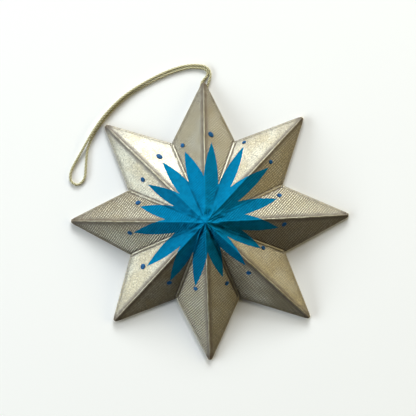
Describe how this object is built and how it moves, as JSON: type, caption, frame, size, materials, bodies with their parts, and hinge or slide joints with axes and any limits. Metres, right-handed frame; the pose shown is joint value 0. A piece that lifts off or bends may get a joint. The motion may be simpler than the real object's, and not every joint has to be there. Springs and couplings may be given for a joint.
{
  "type": "paper snowflake star",
  "caption": "Folded card star ornament with ribbed facets, a hand-painted flower on its face, a flat back and a looped hanging cord.",
  "frame": {"origin": "middle of the flat back, on the surface the star lies on", "axes": "+Z out of the star's face, +Y towards the point that carries the hanging cord"},
  "size_m": [0.1275, 0.136, 0.0215],
  "materials": {
    "ribbed_card": "champagne-silver painted ribbed paper facing on card",
    "seam_paper": "champagne-silver painted paper strip",
    "rim_paper": "antiqued brown and champagne painted paper strip",
    "back_card": "plain card, matt champagne paint",
    "blue_patch": "crumpled paper, semi-gloss blue paint",
    "blue_paint": "dried raised drops of royal blue paint",
    "twine": "straw-coloured twisted twine"
  },
  "bodies": {
    "root": {"apex_patch": "blue_patch", "back_panel": "back_card", "cord_knot": "twine", "hanging_cord": "twine", "paint_dots": "blue_paint", "point_card_1": "ribbed_card", "point_card_2": "ribbed_card", "point_card_3": "ribbed_card", "point_card_4": "ribbed_card", "point_card_5": "ribbed_card", "point_card_6": "ribbed_card", "point_card_7": "ribbed_card", "point_card_8": "ribbed_card", "ridge_strip_1": "seam_paper", "ridge_strip_2": "seam_paper", "ridge_strip_3": "seam_paper", "ridge_strip_4": "seam_paper", "ridge_strip_5": "seam_paper", "ridge_strip_6": "seam_paper", "ridge_strip_7": "seam_paper", "ridge_strip_8": "seam_paper", "rim_strip_1_left": "rim_paper", "rim_strip_1_right": "rim_paper", "rim_strip_2_left": "rim_paper", "rim_strip_2_right": "rim_paper", "rim_strip_3_left": "rim_paper", "rim_strip_3_right": "rim_paper", "rim_strip_4_left": "rim_paper", "rim_strip_4_right": "rim_paper", "rim_strip_5_left": "rim_paper", "rim_strip_5_right": "rim_paper", "rim_strip_6_left": "rim_paper", "rim_strip_6_right": "rim_paper", "rim_strip_7_left": "rim_paper", "rim_strip_7_right": "rim_paper", "rim_strip_8_left": "rim_paper", "rim_strip_8_right": "rim_paper", "valley_strip_1": "seam_paper", "valley_strip_2": "seam_paper", "valley_strip_3": "seam_paper", "valley_strip_4": "seam_paper", "valley_strip_5": "seam_paper", "valley_strip_6": "seam_paper", "valley_strip_7": "seam_paper", "valley_strip_8": "seam_paper"}
  },
  "joints": []
}
